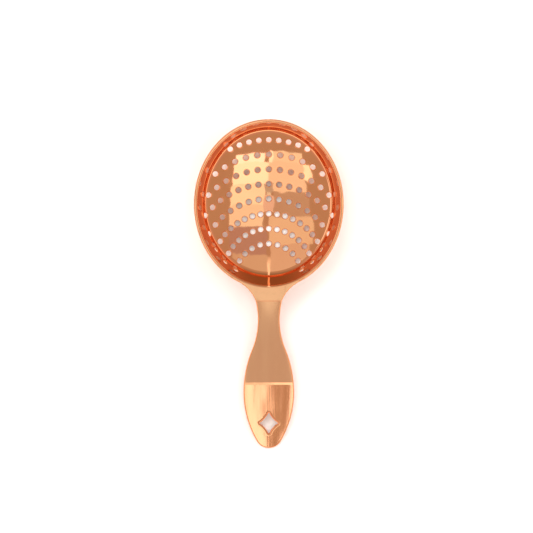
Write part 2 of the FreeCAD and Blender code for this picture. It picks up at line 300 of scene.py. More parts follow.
def rounding(top, under, sheet, width=None):
    """Section of a rounded edge from face to face: rows of (inset, depth, rise).

    Inset is the distance back from the edge, and rise is the angle of the surface's normal
    above the edge's own direction: a quarter turn on the upper face, none on the edge, minus
    a quarter turn on the lower face. Each rounding is a quarter of a circle, or of an ellipse
    where the upper one has a width of its own."""
    width = width or top
    turn = np.linspace(math.pi / 2, 0, EDGE_STEPS + 1)
    rise = np.arctan2(np.sin(turn) / top, np.cos(turn) / width)
    upper = np.stack([width * (1 - np.cos(turn)), top * (1 - np.sin(turn)), rise], axis=-1)
    lower = np.stack([under * (1 - np.cos(turn)), sheet - under * (1 - np.sin(turn)), -turn], axis=-1)
    return np.concatenate([upper, lower[::-1]])


def arc(centre, radius, start, end, solid=True, step=OUTLINE_STEP):
    """Points on an arc and normals out of the metal, which is inside the arc where solid."""
    count = max(4, int(abs(end - start) * radius / step))
    turn = np.linspace(start, end, count, endpoint=False)
    out = np.stack([np.cos(turn), np.sin(turn)], axis=-1)
    return np.array(centre) + radius * out, out if solid else -out


def line(start, end, out, step=OUTLINE_STEP):
    """Points on a straight edge and their normals."""
    start, end = np.array(start), np.array(end)
    count = max(2, int(np.linalg.norm(end - start) / step))
    way = np.linspace(0, 1, count, endpoint=False)[:, None]
    return start + (end - start) * way, np.broadcast_to(np.array(out, float), (count, 2))


def joined(*runs):
    """Joins runs of points and normals into one."""
    return np.concatenate([run[0] for run in runs]), np.concatenate([run[1] for run in runs])


def mirrored(run, flip=(-1, 1)):
    """The same run of points and normals, mirrored and in reverse order."""
    return run[0][::-1] * flip, run[1][::-1] * flip


def after_first(run):
    return run[0][1:], run[1][1:]


def single(point, normal):
    return np.array([point], float), np.array([normal], float)


class Pose:
    """Turns the design pose, rim level, into the resting pose on floor and handle tip."""

    def __init__(self, bowl, handle):
        ball = bowl.floor_radius + bowl.sheet
        tip = handle.tip_rounding_centre()
        low, high = 0.0, math.radians(45)
        for step in range(TILT_STEPS):
            tilt = (low + high) / 2
            across = math.hypot(bowl.outer_stretch * math.sin(tilt), math.cos(tilt))
            floor_z = ball * (math.cos(tilt) - across)
            tip_z = tip[0] * math.sin(tilt) + tip[1] * math.cos(tilt) - handle.edge_round
            if tip_z > floor_z:
                low = tilt
            else:
                high = tilt
        self.cos, self.sin = math.cos(tilt), math.sin(tilt)
        rim_y = bowl.half_length - bowl.edge_round
        rim_z = bowl.height - bowl.sheet + bowl.edge_round
        far_y = rim_y * self.cos - rim_z * self.sin + bowl.edge_round
        self.shift = np.array([0.0, BOWL_HIGH.y - far_y, -floor_z])

    def turn(self, vectors):
        x, y, z = vectors[..., 0], vectors[..., 1], vectors[..., 2]
        return np.stack([x, y * self.cos - z * self.sin, y * self.sin + z * self.cos], axis=-1)

    def place(self, points):
        return self.turn(points) + self.shift


def take_sizes(shape, sizes):
    """Copies every size of a property group to a shape."""
    for key in type(sizes).__annotations__:
        setattr(shape, key, getattr(sizes, key))


class BowlShape:
    """The bowl in its design pose: rim level, middle on the Z axis, tongue towards -Y.

    A place in the sheet is (along, turn, depth): the distance from the middle along the
    inside face of a round bowl, the angle round the middle, and the depth below that face.
    The round bowl is then stretched along Y, its outside face a little less than its inside."""

    def __init__(self, sizes):
        take_sizes(self, sizes)
        extra = self.half_length - self.half_width
        self.land_start = self.half_width - self.lip_width
        self.inner_stretch = 1 + extra / self.land_start
        self.outer_stretch = 1 + extra / self.half_width
        self.lap_z = self.height - self.sheet
        self.root_reach = self.land_start * self.outer_stretch + self.root_gap
        self.tongue_reach = self.root_reach + self.tongue_length
        self.find_knuckle()

    def find_knuckle(self):
        """Slides the knuckle's arc down the wall until it touches the floor's sphere."""
        wall_cos, wall_sin = math.cos(self.wall_angle), math.sin(self.wall_angle)
        top_r = self.land_start - self.roll_radius * wall_sin
        top_z = self.height - self.roll_radius + self.roll_radius * wall_cos
        r = top_r - self.knuckle_radius * wall_sin
        z = top_z + self.knuckle_radius * wall_cos
        ball_z = self.sheet + self.floor_radius
        along = r * wall_cos + (z - ball_z) * wall_sin
        reach = self.floor_radius - self.knuckle_radius
        slide = along + math.sqrt(along**2 - r**2 - (z - ball_z) ** 2 + reach**2)
        self.knuckle_r = r - slide * wall_cos
        self.knuckle_z = z - slide * wall_sin
        floor_slope = math.atan2(self.knuckle_r, ball_z - self.knuckle_z)
        self.slopes = [0, floor_slope, self.wall_angle, self.wall_angle, 0, 0]
        self.wall_r = self.knuckle_r + self.knuckle_radius * wall_sin
        self.wall_z = self.knuckle_z - self.knuckle_radius * wall_cos
        parts = [
            0,
            self.floor_radius * floor_slope,
            self.knuckle_radius * (self.wall_angle - floor_slope),
            (top_z - self.wall_z) / wall_sin,
            self.roll_radius * self.wall_angle,
            self.lip_width,
        ]
        self.ends = np.cumsum(parts)

    def section(self, along):
        """Radius, height and slope of the round bowl's inside face.

        Floor, knuckle and roll are circles, so the slope changes evenly along them; the
        wall is straight and the land level."""
        slope = np.interp(along, self.ends, self.slopes)
        sin, cos = np.sin(slope), np.cos(slope)
        floor, knuckle, wall, roll = self.ends[1:5]
        spans = [along <= floor, along <= knuckle, along <= wall, along <= roll]
        radii = [
            self.floor_radius * sin,
            self.knuckle_r + self.knuckle_radius * sin,
            self.wall_r + (along - knuckle) * cos,
            self.land_start - self.roll_radius * sin,
        ]
        heights = [
            self.sheet + self.floor_radius * (1 - cos),
            self.knuckle_z - self.knuckle_radius * cos,
            self.wall_z + (along - knuckle) * sin,
            self.height - self.roll_radius * (1 - cos),
        ]
        r = np.select(spans, radii, self.land_start + along - roll)
        return r, np.select(spans, heights, self.height), slope

    def stretch(self, depth):
        """How much longer than wide the bowl is at a depth in its sheet."""
        return self.inner_stretch + (self.outer_stretch - self.inner_stretch) * depth / self.sheet

    def point(self, along, turn, depth):
        """The section moved out by the depth along its normal, turned round Z and stretched."""
        r, z, slope = self.section(along)
        r = r + depth * np.sin(slope)
        z = z - depth * np.cos(slope)
        return np.stack([r * np.cos(turn), r * np.sin(turn) * self.stretch(depth), z], axis=-1)

    def normal(self, along, turn, depth):
        """Upward normal of the sheet: the round bowl's, with Y divided by the stretch."""
        slope = self.section(along)[2]
        x = -np.sin(slope) * np.cos(turn)
        y = -np.sin(slope) * np.sin(turn) / self.stretch(depth)
        return unit(np.stack(np.broadcast_arrays(x, y, np.cos(slope)), axis=-1))

    def hole_middles(self):
        """Middles of the holes on the flat blank, from their rows' arcs in plan."""
        places = []
        for row, (each_side, spacing) in enumerate(HOLE_ROWS):
            left = len(HOLE_ROWS) - 1 - row
            radius = min(self.widest_row_radius, self.last_row_radius + self.row_radius_step * left)
            turn = np.arange(-each_side, each_side + 1) * spacing / radius
            y = self.first_row - self.row_step * row - radius * (1 - np.cos(turn))
            places.append(np.stack([radius * np.sin(turn), y / self.inner_stretch], axis=-1))
        places = np.concatenate(places)
        radius = np.linalg.norm(places, axis=-1)
        steps = np.linspace(0, self.ends[3], SECTION_STEPS)
        along = np.interp(radius, self.section(steps)[0], steps)
        turn = np.arctan2(places[:, 1], places[:, 0])
        return np.stack([along * np.cos(turn), along * np.sin(turn)], axis=-1)

    def hole_rings(self, middles, radius):
        """A round ring about each hole's middle, as places on the flat blank.

        The circle is drawn in the sheet's tangent plane, and each step in it is divided by
        how far the surface moves for a step out from, and round, the bowl's middle."""
        along = np.linalg.norm(middles, axis=-1)
        turn = np.arctan2(middles[:, 1], middles[:, 0])
        r, _, slope = self.section(along)
        cos, sin, stretch = np.cos(turn), np.sin(turn), self.inner_stretch
        out = np.stack([np.cos(slope) * cos, np.cos(slope) * sin * stretch, np.sin(slope)], axis=-1)
        scale = np.where(along > ON_LINE, r / np.maximum(along, ON_LINE), 1.0)
        way_round = np.stack([-sin * scale, cos * stretch * scale, 0 * cos], axis=-1)
        first = unit(out)
        second = np.cross(self.normal(along, turn, 0), first)
        ring = np.linspace(0, 2 * math.pi, HOLE_SIDES, endpoint=False)
        round_step = radius * np.sin(ring) / np.sum(way_round * second, axis=-1)[:, None]
        lean = np.sum(way_round * first, axis=-1)[:, None]
        out_step = radius * np.cos(ring) - round_step * lean
        out_step = out_step / np.linalg.norm(out, axis=-1)[:, None]
        x = middles[:, :1] + out_step * cos[:, None] - round_step * sin[:, None]
        y = middles[:, 1:] + out_step * sin[:, None] + round_step * cos[:, None]
        return np.stack([x, y], axis=-1)

    def on_blank(self, flat, depth):
        """Point and upward normal for places on the flat blank."""
        along = np.linalg.norm(flat, axis=-1)
        turn = np.arctan2(flat[..., 1], flat[..., 0])
        return self.point(along, turn, depth), self.normal(along, turn, depth)

    def outline(self):
        """Plan outline of rim and tongue: half an ellipse, a hollow flare, a round corner."""
        rim_x = self.half_width * math.sin(self.flare_angle)
        rim_y = -self.half_length * math.cos(self.flare_angle)
        normal = unit(np.array([rim_x / self.half_width**2, rim_y / self.half_length**2]))
        neck = bpy.context.scene.strainer_handle.neck_half_width
        flare = (rim_x - neck) / (1 - normal[0])
        flare_x, flare_y = rim_x + normal[0] * flare, rim_y + normal[1] * flare
        corner = self.tongue_corner
        corner_y = corner - self.tongue_reach
        corner_x = flare_x - math.sqrt((flare + corner) ** 2 - (corner_y - flare_y) ** 2)
        meet = math.atan2(corner_y - flare_y, corner_x - flare_x)
        begin = math.atan2(-normal[1], -normal[0])
        count = int(math.pi * self.half_length / OUTLINE_STEP)
        turn = np.linspace(math.pi / 2, self.flare_angle - math.pi / 2, count, endpoint=False)
        rim = np.stack([self.half_width * np.cos(turn), self.half_length * np.sin(turn)], axis=-1)
        out = np.stack([np.cos(turn) / self.half_width, np.sin(turn) / self.half_length], axis=-1)
        meet %= 2 * math.pi
        half = joined(
            (rim[1:], unit(out)[1:]),
            arc((flare_x, flare_y), flare, begin, meet, solid=False),
            arc((corner_x, corner_y), corner, meet - math.pi, -math.pi / 2, step=CORNER_STEP),
        )
        end = -self.tongue_reach
        return joined(half, line((corner_x, end), (-corner_x, end), (0, -1)), mirrored(half))


class HandleShape:
    """The handle in its design pose. A place in its sheet is (x, along, depth): along is the
    distance from the bowl's middle over the handle's upper face, and depth is below it."""

    def __init__(self, sizes, bowl):
        take_sizes(self, sizes)
        self.top_z = bowl.lap_z
        self.root_reach = bowl.root_reach
        self.widest_reach = self.reach - self.widest_from_tip
        rim = bowl.half_length
        self.neck_reach = rim + self.neck_share * (self.widest_reach - rim)
        self.bend_start = self.reach - self.bend_from_tip
        self.bend_top = self.bend_radius + self.sheet
        self.bend_end = self.bend_start + self.bend_top * self.bend_angle

    def along(self, reach):
        """Distance over the upper face to a place this far from the bowl's middle in plan."""
        past = reach - self.bend_start - self.bend_top * math.sin(self.bend_angle)
        in_bend = np.clip((reach - self.bend_start) / self.bend_top, 0, math.sin(self.bend_angle))
        bent = self.bend_start + self.bend_top * np.arcsin(in_bend)
        level = np.minimum(reach, self.bend_start)
        tail = self.bend_end + past / math.cos(self.bend_angle)
        return np.where(past > 0, tail, np.where(in_bend > 0, bent, level))

    def side(self, along):
        """Y, height and slope of the upper face: level, then an arc, then a straight tail."""
        slope = np.clip((along - self.bend_start) / self.bend_top, 0, self.bend_angle)
        tail = np.maximum(along - self.bend_end, 0)
        y = -np.minimum(along, self.bend_start) - self.bend_top * np.sin(slope)
        y = y - tail * math.cos(self.bend_angle)
        z = self.top_z - self.bend_top * (1 - np.cos(slope)) - tail * math.sin(self.bend_angle)
        return y, z, slope

    def up(self, along):
        slope = self.side(along)[2]
        return np.stack([0 * slope, -np.sin(slope), np.cos(slope)], axis=-1)

    def point(self, flat, depth):
        """The upper face's point, moved down its normal by the depth."""
        y, z, slope = self.side(flat[..., 1])
        face = np.stack([flat[..., 0], y, z], axis=-1)
        return face - np.asarray(depth)[..., None] * self.up(flat[..., 1])

    def out(self, flat, normals):
        """Direction in space of a flat normal (across, along the handle)."""
        slope = self.side(flat[..., 1])[2]
        ahead = np.stack([0 * slope, -np.cos(slope), -np.sin(slope)], axis=-1)
        return normals[..., :1] * np.array([1.0, 0, 0]) + normals[..., 1:] * ahead

    def tip_rounding_centre(self):
        """Y and height of the centre of the rounding under the tip."""
        along = self.along(np.array(self.reach)) - self.edge_round
        place = self.point(np.stack([0 * along, along], axis=-1), self.sheet - self.edge_round)
        return place[1], place[2]

    def outline(self):
        """Plan outline as (across, along): root corner, hollow neck, shoulder, side and tip."""
        tip_y = self.reach - self.tip_radius
        drop = tip_y - self.widest_reach
        side = self.half_width**2 + drop**2 - self.tip_radius**2
        side = side / (2 * (self.half_width - self.tip_radius))
        side_x = self.half_width - side
        tip_turn = math.atan2(drop, -side_x)
        rise = self.widest_reach - self.neck_reach
        widening = self.half_width - self.neck_half_width
        radii = (widening**2 + rise**2) / (2 * widening)
        shoulder = self.shoulder_share * radii
        neck = radii - shoulder
        shoulder_x = self.half_width - shoulder
        neck_x = self.neck_half_width + neck
        neck_turn = math.atan2(rise, neck_x - shoulder_x)
        corner = self.root_corner
        corner_y = self.root_reach + corner
        corner_x = neck_x - math.sqrt((neck + corner) ** 2 - (self.neck_reach - corner_y) ** 2)
        meet = math.atan2(corner_y - self.neck_reach, corner_x - neck_x) % (2 * math.pi)
        half = joined(
            arc((corner_x, corner_y), corner, -math.pi / 2, meet - math.pi, step=CORNER_STEP),
            arc((neck_x, self.neck_reach), neck, meet, math.pi - neck_turn, solid=False),
            arc((shoulder_x, self.widest_reach), shoulder, -neck_turn, 0),
            arc((side_x, self.widest_reach), side, 0, tip_turn),
            arc((0, tip_y), self.tip_radius, tip_turn, math.pi / 2),
        )
        root = line((-corner_x, self.root_reach), (corner_x, self.root_reach), (0, -1))
        tip = single((0, self.reach), (0, 1))
        points, normals = joined(half, tip, mirrored(after_first(half)), root)
        points = np.stack([points[:, 0], self.along(points[:, 1])], axis=-1)
        return points, normals

    def star(self):
        """Outline of the hanging hole: four hollow arcs joined by small round points."""
        wide, tall = self.star_half_width, self.star_half_length
        waist = self.star_waist / math.sqrt(2)
        # Circle through a side point, the waist and a long point, from their equal distances
        rows = np.array([[wide - waist, -waist], [-waist, tall - waist]])
        right = np.array([wide**2 - 2 * waist**2, tall**2 - 2 * waist**2]) / 2
        centre = np.linalg.solve(rows, right)
        hollow = math.hypot(centre[0] - wide, centre[1])
        tip = self.star_tip_round
        top_y = centre[1] - math.sqrt((hollow + tip) ** 2 - centre[0] ** 2)
        side_x = centre[0] - math.sqrt((hollow + tip) ** 2 - centre[1] ** 2)
        to_top = math.atan2(top_y - centre[1], -centre[0])
        to_side = math.atan2(-centre[1], side_x - centre[0])
        quarter = joined(
            arc((side_x, 0), tip, 0, to_side + math.pi, False, STAR_TIP_STEP),
            arc(centre, hollow, to_side, to_top, True, CORNER_STEP),
            arc((0, top_y), tip, to_top + math.pi, math.pi / 2, False, STAR_TIP_STEP),
        )
        upper = joined(quarter, single((0, top_y + tip), (0, -1)), mirrored(after_first(quarter)))
        side_end = single((-side_x - tip, 0), (1, 0))
        points, normals = joined(upper, side_end, mirrored(after_first(upper), (1, -1)))
        middle = self.along(np.array(self.reach - self.star_from_tip))
        return points + np.array([0, float(middle)]), normals


def build_bowl(shape):
    """Bowl and tongue: perforated faces, hole edges, walls, lip and the lip's rounded edge."""
    shell = Shell()
    middles = shape.hole_middles()
    section = rounding(shape.hole_round, shape.hole_burr, shape.sheet)
    radius = shape.hole_diameter / 2
    rings = [shape.hole_rings(middles, radius + inset) for inset, depth, rise in section]
    floor, wall, roll = shape.ends[[1, 3, 4]]
    rim_of_holes = np.linalg.norm(rings[0], axis=-1).max() + FACE_STEP / 4

    turns = np.linspace(0, 2 * math.pi, TURNS, endpoint=False)
    round_ring = np.stack([np.cos(turns), np.sin(turns)], axis=-1)
    levels = np.linspace(floor, rim_of_holes, int((rim_of_holes - floor) / (FACE_STEP / 4)))
    edge_ring = levels[-1] * round_ring
    disc = spread((-floor, -floor), (floor, floor), FACE_STEP)
    disc = disc[np.linalg.norm(disc, axis=-1) < floor - FACE_STEP / 2]
    inner = np.concatenate([disc] + [level * round_ring for level in levels[:-1]])
    clear = radius + shape.hole_round + FACE_STEP / 3
    inner = inner[distance_to(inner, middles) > clear]

    def blank(ring):
        return np.concatenate([ring.reshape(-1, 2), edge_ring, inner])

    hole_count = len(middles) * HOLE_SIDES
    hole_numbers = np.arange(hole_count).reshape(-1, HOLE_SIDES)
    edge_numbers = np.arange(hole_count, hole_count + TURNS)
    corners = triangulate(blank(rings[0]), list(hole_numbers) + [edge_numbers])
    points, normals = shape.on_blank(blank(rings[0]), 0)
    inside = shell.add(points, normals)
    points, normals = shape.on_blank(blank(rings[-1]), shape.sheet)
    outside = shell.add(points, -normals)
    shell.triangles(inside[corners])
    shell.triangles(outside[corners])

    rows = [inside[hole_numbers]]
    for ring, (inset, depth, rise) in list(zip(rings, section))[1:-1]:
        points, up = shape.on_blank(ring, depth)
        axis = shape.on_blank(middles, depth)[0][:, None] - points
        inward = unit(axis - np.sum(axis * up, axis=-1, keepdims=True) * up)
        rows.append(shell.add(points, math.sin(rise) * up + math.cos(rise) * inward))
    shell.band(rows + [outside[hole_numbers]])

    rows_up = np.linspace(levels[-1], wall, WALL_ROWS)[1:]
    rows_up = np.concatenate([rows_up, np.linspace(wall, roll, 2 * EDGE_STEPS + 1)[1:]])
    lip_edges = []
    for first, depth, side in ((inside, 0.0, 1), (outside, shape.sheet, -1)):
        rows = [first[edge_numbers]]
        for along in rows_up:
            points = shape.point(np.full(TURNS, along), turns, depth)
            rows.append(shell.add(points, side * shape.normal(along, turns, depth)))
        shell.band(rows)
        lip_edges.append(rows[-1])

    outline, out = shape.outline()
    rows = []
    for inset, depth, rise in rounding(shape.edge_round, shape.edge_round, shape.sheet):
        flat = outline - inset * out
        points = np.column_stack([flat, np.full(len(flat), shape.height - depth)])
        flat_out = np.column_stack([out * math.cos(rise), np.full(len(out), math.sin(rise))])
        rows.append(shell.add(points, flat_out))
    shell.band(rows)
    everything = np.concatenate(shell.points)
    for lip_edge, outer in ((lip_edges[0], rows[0]), (lip_edges[1], rows[-1])):
        numbers = np.concatenate([lip_edge, outer])
        loops = [np.arange(TURNS), np.arange(TURNS, len(numbers))]
        shell.triangles(numbers[triangulate(everything[numbers][:, :2], loops)])
    return shell


def crown(flat, outline, out, shape):
    """How far the handle's face sinks towards its outline, and how it tilts there.

    The drop grows with the square of how far a place is past the start of the crown."""
    nearest = in_chunks(lambda chunk: gaps(chunk, outline).argmin(axis=1), flat)
    gap = np.linalg.norm(flat - outline[nearest], axis=-1) - shape.edge_round
    past = np.clip(1 - gap / shape.crown_width, 0, 1)
    slope = 2 * shape.crown_drop / shape.crown_width * past
    return shape.crown_drop * past**2, slope[:, None] * out[nearest]


def build_handle(shape):
    """Handle: two faces bent along a soft crease, their rounded outline and the star hole."""
    shell = Shell()
    outline, out = shape.outline()
    star, star_out = shape.star()
    section = rounding(shape.edge_round, shape.edge_round, shape.sheet)
    star_section = rounding(shape.star_round, shape.star_burr, shape.sheet, shape.star_roll)
    ring = outline - shape.edge_round * out
    star_ring = star - shape.star_roll * star_out

    bend = np.linspace(shape.bend_start, shape.bend_end, BEND_ROWS)
    across = np.arange(-shape.half_width, shape.half_width, FACE_STEP / 2)
    low, high = ring.min(axis=0), ring.max(axis=0)
    inner = spread(low, high, FACE_STEP)
    middle, reach = (bend[0] + bend[-1]) / 2, (bend[-1] - bend[0]) / 2 + FACE_STEP / 2
    inner = inner[abs(inner[:, 1] - middle) > reach]
    grid = np.stack(np.meshgrid(across, bend), axis=-1).reshape(-1, 2)
    inner = np.concatenate([inner, grid])
    inner = inner[odd_inside(inner, ring, np.roll(ring, -1, axis=0))]
    inner = inner[distance_to(inner, np.concatenate([ring, star_ring])) > FACE_STEP / 4]
    inner = inner[~odd_inside(inner, star_ring, np.roll(star_ring, -1, axis=0))]
    ring_numbers = np.arange(len(ring))
    star_numbers = np.arange(len(ring), len(ring) + len(star))
    start = len(ring) + len(star)
    lines = [start + np.flatnonzero(abs(inner[:, 1] - along) < ON_LINE) for along in bend]

    upper = np.concatenate([ring, star_ring, inner])
    lower = np.concatenate([ring, star - shape.star_burr * star_out, inner])
    corners = triangulate(upper, [ring_numbers, star_numbers], lines)
    sink, tilt = crown(upper, outline, out, shape)
    up = shape.up(upper[:, 1])
    top = shell.add(shape.point(upper, sink), unit(up + shape.out(upper, tilt)))
    under = shell.add(shape.point(lower, shape.sheet - sink), unit(shape.out(lower, tilt) - up))
    shell.triangles(top[corners])
    shell.triangles(under[corners])

    for edge, edge_out, steps, numbers in (
        (outline, out, section, ring_numbers),
        (star, star_out, star_section, star_numbers),
    ):
        rows = [top[numbers]]
        sunk = shape.crown_drop if numbers is ring_numbers else 0.0
        for inset, depth, rise in steps[1:-1]:
            flat = edge - inset * edge_out
            depth = depth + math.copysign(sunk, rise)
            normals = math.sin(rise) * shape.up(flat[:, 1]) + math.cos(rise) * shape.out(flat, edge_out)
            rows.append(shell.add(shape.point(flat, depth), normals))
        shell.band(rows + [under[numbers]])
    return shell


def build_welds(bowl, diameter, depth, offset):
    """Two lenses across the joint of tongue and handle, each the overlap of two balls."""
    shell = Shell()
    half = diameter / 2
    ball = (half**2 + depth**2) / (2 * depth)
    widest = math.asin(half / ball)
    upper = np.linspace(0, widest, WELD_ROWS)
    lean = np.concatenate([upper, upper[-2::-1]])
    side = np.where(np.arange(len(lean)) < WELD_ROWS, 1.0, -1.0)
    turns = np.linspace(0, 2 * math.pi, WELD_TURNS, endpoint=False)
    for x in (-offset, offset):
        middle = np.array([x, -(bowl.root_reach + bowl.tongue_reach) / 2, bowl.lap_z])
        rows = []
        for tilt, way in zip(lean, side):
            out = np.stack([np.cos(turns), np.sin(turns), 0 * turns], axis=-1)
            normal = out * math.sin(tilt) + np.array([0, 0, way * math.cos(tilt)])
            points = middle + ball * normal - np.array([0, 0, way * (ball - depth)])
            if tilt == 0:
                pole = shell.add(points[:1], normal[:1])
                rows.append(np.repeat(pole, len(turns)))
            else:
                rows.append(shell.add(points, normal))
        shell.band(rows)
    return shell


class Value:
    """A number that varies over a surface. Arithmetic on it adds Math nodes."""

    def __init__(self, shader, socket):
        self.shader = shader
        self.socket = socket

    def math(self, operation, first, second):
        return self.shader.node("ShaderNodeMath", {"operation": operation}, {0: first, 1: second})

    def __add__(self, other):
        return self.math("ADD", self, other)

    __radd__ = __add__

    def __rsub__(self, other):
        return self.math("SUBTRACT", other, self)

    def __mul__(self, other):
        return self.math("MULTIPLY", self, other)

    __rmul__ = __mul__


class Shader:
    """One node tree, filled by adding nodes that take values or links."""

    def __init__(self, owner):
        owner.use_nodes = True
        self.tree = owner.node_tree
        self.tree.nodes.clear()

    def node(self, kind, settings, inputs, output=0):
        """Adds a node, sets its settings, then gives its sockets values or links."""
        made = self.tree.nodes.new(kind)
        for key, value in settings.items():
            setattr(made, key, value)
        for key, value in inputs.items():
            if isinstance(value, Value):
                self.tree.links.new(value.socket, made.inputs[key])
            else:
                made.inputs[key].default_value = value
        return Value(self, made.outputs[output]) if made.outputs else made

    def place(self):
        return self.node("ShaderNodeTexCoord", {}, {}, "Object")

    def stretched(self, place, scale):
        return self.node("ShaderNodeMapping", {}, {"Vector": place, "Scale": scale})

    def part(self, vector, axis):
        return self.node("ShaderNodeSeparateXYZ", {}, {"Vector": vector}, axis)

    def noise(self, place, scale, detail=2.0):
        inputs = {"Vector": place, "Scale": scale, "Detail": detail}
        return self.node("ShaderNodeTexNoise", {}, inputs, "Fac")

    def band(self, value, low, high):
        """0 below low, 1 above high, and smooth between."""
        inputs = {"Value": value, "From Min": low, "From Max": high}
        return self.node("ShaderNodeMapRange", {"interpolation_type": "SMOOTHSTEP"}, inputs)

    def mix(self, factor, first, second):
        """The first colour where the factor is 0, the second where it is 1."""
        # On this node, inputs 6 and 7 and output 2 are the colour ones
        inputs = {0: factor, 6: first, 7: second}
        return self.node("ShaderNodeMix", {"data_type": "RGBA"}, inputs, 2)

    def bump(self, height, distance):
        return self.node("ShaderNodeBump", {}, {"Height": height, "Distance": distance, "Strength": 1.0})

    def metal(self, inputs):
        surface = self.node("ShaderNodeBsdfPrincipled", {}, {"Metallic": 1.0, **inputs})
        self.node("ShaderNodeOutputMaterial", {}, {"Surface": surface})


def opaque(rgb):
    return (*rgb, 1.0)


def bowl_copper(finish):
    """Mirror-polished copper with faint waves from pressing and light wiping smears."""
    material = bpy.data.materials.new("bowl_copper_polished")
    shader = Shader(material)
    place = shader.place()
    waves = shader.noise(place, 150.0, 1.0)
    smears = shader.noise(shader.stretched(place, (260.0, 420.0, 420.0)), 1.0, 4.0)
    tone = shader.band(shader.noise(place, 38.0, 3.0), 0.35, 0.75)
    base = shader.mix(tone * 0.35, opaque(finish.copper), opaque(finish.deep_copper))
    roughness = finish.bowl_polish * (0.6 + 0.8 * smears)
    shader.metal({
        "Base Color": base,
        "Roughness": roughness,
        "Normal": shader.bump(waves, 0.00005),
    })
    return material


def handle_copper(finish):
    """Polished copper with soft streaks along the handle."""
    material = bpy.data.materials.new("handle_copper_streaked")
    shader = Shader(material)
    place = shader.place()
    waves = shader.noise(shader.stretched(place, (120.0, 45.0, 60.0)), 1.0, 1.0)
    streaks = shader.noise(shader.stretched(place, (1500.0, 24.0, 200.0)), 1.0, 3.0)
    tone = shader.band(shader.noise(shader.stretched(place, (160.0, 26.0, 60.0)), 1.0, 3.0), 0.3, 0.75)
    base = shader.mix(tone * 0.4, opaque(finish.copper), opaque(finish.deep_copper))
    shader.metal({
        "Base Color": base,
        "Roughness": finish.handle_polish * (0.6 + 0.8 * streaks),
        "Normal": shader.bump(waves + 0.08 * streaks, 0.00003),
    })
    return material


def weld_steel(finish):
    """Bare metal of the weld nuggets, dull and finely grained."""
    material = bpy.data.materials.new("weld_steel_grained")
    shader = Shader(material)
    grain = shader.noise(shader.place(), 3000.0, 3.0)
    dark = tuple(0.7 * part for part in finish.steel)
    shader.metal({
        "Base Color": shader.mix(grain, opaque(dark), opaque(finish.steel)),
        "Roughness": 0.35 + 0.2 * grain,
        "Normal": shader.bump(grain, 0.00001),
    })
    return material


def shapes(scene):
    bowl = BowlShape(scene.strainer_bowl)
    handle = HandleShape(scene.strainer_handle, bowl)
    return bowl, handle, Pose(bowl, handle)


def finish_piece(piece, material, node):
    piece.data.materials.append(material)
    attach(piece, "root")
    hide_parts(node)


class STRAINER_OT_bowl(bpy.types.Operator):
    """Builds the perforated bowl with its lip and tongue"""

    bl_idname = "strainer.bowl"
    bl_label = "Build bowl"

    def execute(self, context):
        bowl, handle, pose = shapes(context.scene)
        piece = build_bowl(bowl).piece("perforated_bowl", pose)
        finish_piece(piece, bowl_copper(context.scene.strainer_finish), "strainer_bowl")
        return {"FINISHED"}


class STRAINER_OT_handle(bpy.types.Operator):
    """Builds the bent handle with its star-shaped hanging hole"""

    bl_idname = "strainer.handle"
    bl_label = "Build handle"

    def execute(self, context):
        bowl, handle, pose = shapes(context.scene)
        piece = build_handle(handle).piece("leaf_handle", pose)
        finish_piece(piece, handle_copper(context.scene.strainer_finish), "handle")
        return {"FINISHED"}


class STRAINER_OT_welds(bpy.types.Operator):
    """Builds the two weld nuggets between tongue and handle"""

    bl_idname = "strainer.welds"
    bl_label = "Build welds"

    diameter: length("Diameter", "Diameter of each nugget", 0.0032)
    depth: length("Depth", "How far each nugget reaches into each sheet", 0.00045)
    offset: length("Offset", "From the middle line to each nugget", 0.0034)

    def execute(self, context):
        bowl, handle, pose = shapes(context.scene)
        shell = build_welds(bowl, self.diameter, self.depth, self.offset)
        piece = shell.piece("weld_nuggets", pose)
        finish_piece(piece, weld_steel(context.scene.strainer_finish), "spot_welds")
        return {"FINISHED"}


class StrainerStudio(bpy.types.PropertyGroup):
    """Floor, surroundings, lights and camera"""

    camera_height: length("Camera height", "Camera above the floor", 2.5)
    view_width: length("View width", "Width of the view at the strainer", 0.267)
    panel_height: length("Panel height", "Height of the light panels", 1.2)
    floor_half: length("Floor half size", "Half the floor's side", 3.0)
    room: colour("Room", "Light of the room above the strainer", (0.56, 0.47, 0.38))
    fill: bpy.props.FloatVectorProperty(
        name="Fill",
        description="Light for the floor that the metal doesn't show",
        default=(2.9, 2.75, 2.65),
        size=3,
        min=0.0,
        subtype="COLOR",
    )


